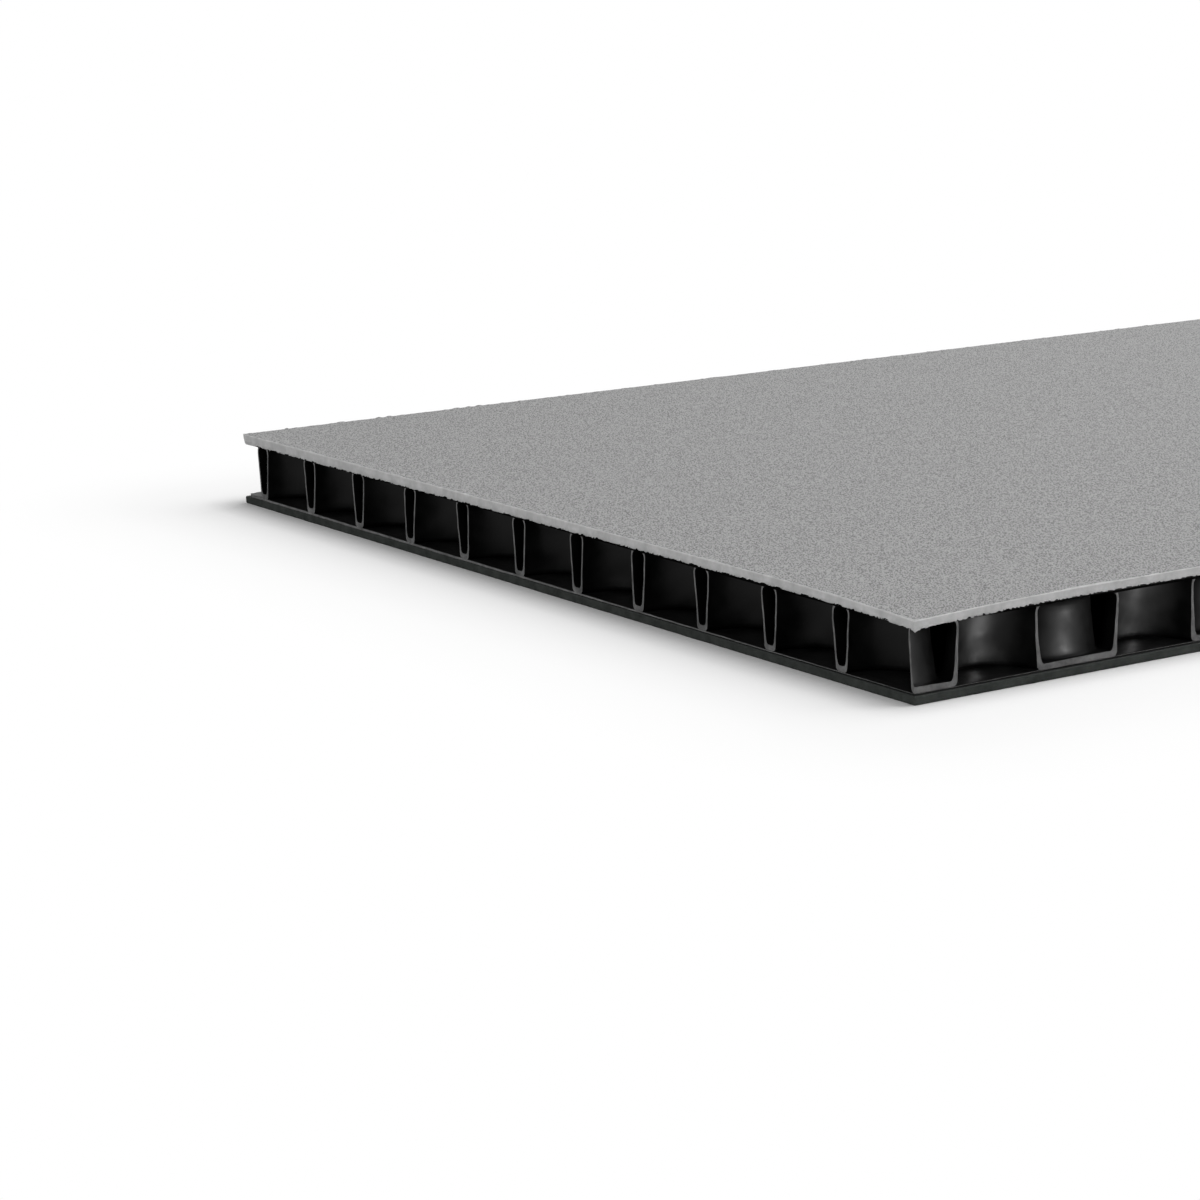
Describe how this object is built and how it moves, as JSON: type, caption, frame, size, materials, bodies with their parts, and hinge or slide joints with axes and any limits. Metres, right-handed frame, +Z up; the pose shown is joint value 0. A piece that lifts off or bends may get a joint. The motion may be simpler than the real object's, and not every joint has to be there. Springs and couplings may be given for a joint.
{
  "type": "polypropylene sandwich panel",
  "caption": "Cut sample of sandwich sheet: a grained grey skin and a black skin fused over and under a black core of formed round cups between two thin films.",
  "frame": {"origin": "middle of the underside", "axes": "+X along the sample's length and across the rows of cups, +Y across its width and along the rows, +Z up through the thickness to the grey skin"},
  "size_m": [0.195, 0.15, 0.01],
  "materials": {
    "top_skin": "finely grained matt light grey polypropylene",
    "liner": "smooth black polypropylene film",
    "cup_sheet": "glossy thermoformed black polypropylene, dull grey where it is cut",
    "bottom_skin": "finely grained matt near-black polypropylene"
  },
  "bodies": {
    "root": {"top_skin": "top_skin", "top_liner": "liner", "cup_sheet": "cup_sheet", "bottom_liner": "liner", "bottom_skin": "bottom_skin"}
  },
  "joints": []
}
